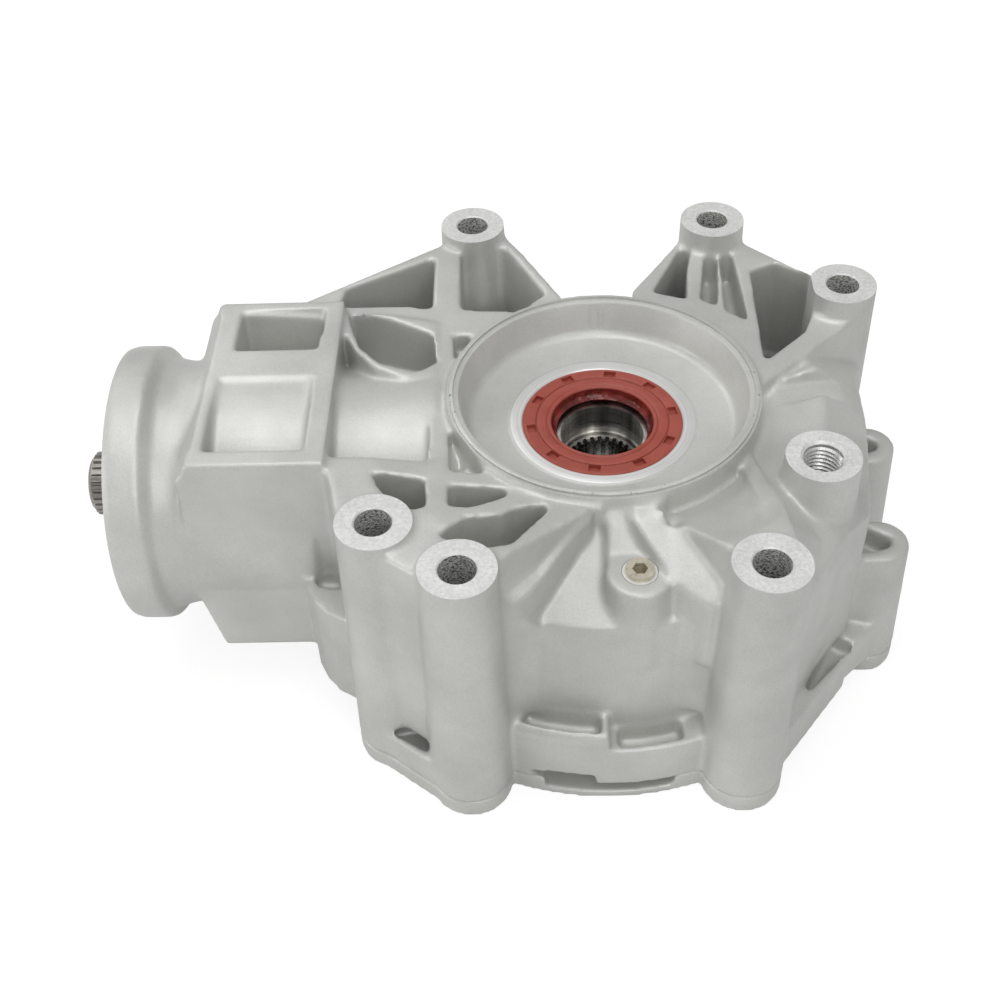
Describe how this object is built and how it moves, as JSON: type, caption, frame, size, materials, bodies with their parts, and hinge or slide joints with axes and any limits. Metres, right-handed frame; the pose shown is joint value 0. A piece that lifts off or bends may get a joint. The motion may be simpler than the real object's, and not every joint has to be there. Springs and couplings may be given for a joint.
{
  "type": "rear differential",
  "caption": "Cast aluminium rear differential with ribbed housing, bevel drive, splined pinion, lip seals and mounting bosses.",
  "frame": {"origin": "where the axle axis meets the outer face of the side cover, at the mouth of the cover's pilot recess", "axes": "+Z along the axle axis towards the seal in the cup; -X along the pinion axis out of the nose"},
  "size_m": [0.3165, 0.2235, 0.1215],
  "materials": {
    "cast_aluminium": "satin",
    "cover_aluminium": "satin",
    "seal_rubber": "matt",
    "black_rubber": "matt",
    "bright_steel": "ground",
    "gear_steel": "case-hardened",
    "dark_steel": "black oxide",
    "case_iron": "machined",
    "zinc_steel": "zinc plated",
    "bronze": "satin"
  },
  "bodies": {
    "housing": {"main_housing": "cast_aluminium", "side_cover": "cover_aluminium", "cover_o_ring": "black_rubber", "cover_bolts": "dark_steel", "dowel_pins": "bright_steel", "upper_axle_seal": "seal_rubber", "upper_seal_spring": "bright_steel", "lower_axle_seal": "seal_rubber", "lower_seal_spring": "bright_steel", "level_plug": "zinc_steel", "level_plug_washer": "bright_steel", "drain_plug": "zinc_steel", "drain_plug_washer": "bronze", "pinion_inner_cup": "bright_steel", "pinion_outer_cup": "bright_steel", "pinion_seal": "seal_rubber", "pinion_seal_spring": "bright_steel", "upper_bearing_outer": "bright_steel", "lower_bearing_outer": "bright_steel"},
    "carrier": {"differential_case": "case_iron", "ring_gear": "gear_steel", "ring_gear_bolts": "dark_steel", "cross_pin": "bright_steel", "cross_pin_lock": "bright_steel", "spider_washer_a": "bronze", "spider_washer_b": "bronze", "thrust_washer_upper": "bronze", "thrust_washer_lower": "bronze", "upper_bearing_inner": "bright_steel", "lower_bearing_inner": "bright_steel", "upper_shim": "bright_steel", "lower_shim": "bright_steel"},
    "pinion": {"pinion_shaft": "gear_steel", "pinion_inner_cone": "bright_steel", "pinion_outer_cone": "bright_steel", "pinion_shim": "bright_steel", "pinion_spacer": "dark_steel", "pinion_lock_nut": "dark_steel"},
    "upper_ball_set": {"upper_bearing_balls": "bright_steel"},
    "lower_ball_set": {"lower_bearing_balls": "bright_steel"},
    "inner_roller_set": {"pinion_inner_rollers": "bright_steel"},
    "outer_roller_set": {"pinion_outer_rollers": "bright_steel"},
    "upper_side_gear": {"side_gear_upper": "gear_steel"},
    "lower_side_gear": {"side_gear_lower": "gear_steel"},
    "spider_a": {"spider_gear_a": "gear_steel"},
    "spider_b": {"spider_gear_b": "gear_steel"}
  },
  "joints": [
    {"name": "carrier_spin", "type": "hinge", "parent": "housing", "child": "carrier", "pos_m": [0, 0, 0.0495], "axis": [0, 0, 1], "continuous": true},
    {"name": "pinion_spin", "type": "hinge", "parent": "housing", "child": "pinion", "pos_m": [-0.1, 0, 0.069], "axis": [1, 0, 0], "continuous": true},
    {"name": "upper_balls_spin", "type": "hinge", "parent": "housing", "child": "upper_ball_set", "pos_m": [0, 0, 0.079], "axis": [0, 0, 1], "continuous": true},
    {"name": "lower_balls_spin", "type": "hinge", "parent": "housing", "child": "lower_ball_set", "pos_m": [0, 0, 0.02], "axis": [0, 0, 1], "continuous": true},
    {"name": "inner_rollers_spin", "type": "hinge", "parent": "housing", "child": "inner_roller_set", "pos_m": [-0.088, 0, 0.069], "axis": [1, 0, 0], "continuous": true},
    {"name": "outer_rollers_spin", "type": "hinge", "parent": "housing", "child": "outer_roller_set", "pos_m": [-0.136, 0, 0.069], "axis": [1, 0, 0], "continuous": true},
    {"name": "upper_side_spin", "type": "hinge", "parent": "carrier", "child": "upper_side_gear", "pos_m": [0, 0, 0.065], "axis": [0, 0, 1], "continuous": true},
    {"name": "lower_side_spin", "type": "hinge", "parent": "carrier", "child": "lower_side_gear", "pos_m": [0, 0, 0.034], "axis": [0, 0, 1], "continuous": true},
    {"name": "spider_a_spin", "type": "hinge", "parent": "carrier", "child": "spider_a", "pos_m": [0.02, 0, 0.0495], "axis": [1, 0, 0], "continuous": true},
    {"name": "spider_b_spin", "type": "hinge", "parent": "carrier", "child": "spider_b", "pos_m": [-0.02, 0, 0.0495], "axis": [1, 0, 0], "continuous": true}
  ],
  "couplings": [
    {"joint": "pinion_spin", "follows": "carrier_spin", "ratio": -3.4167},
    {"joint": "upper_balls_spin", "follows": "carrier_spin", "ratio": 0.42593},
    {"joint": "lower_balls_spin", "follows": "carrier_spin", "ratio": 0.42593},
    {"joint": "inner_rollers_spin", "follows": "carrier_spin", "ratio": -1.4863},
    {"joint": "outer_rollers_spin", "follows": "carrier_spin", "ratio": -1.4854},
    {"joint": "lower_side_spin", "follows": "upper_side_spin", "ratio": -1},
    {"joint": "spider_a_spin", "follows": "upper_side_spin", "ratio": -1.6},
    {"joint": "spider_b_spin", "follows": "upper_side_spin", "ratio": 1.6}
  ]
}
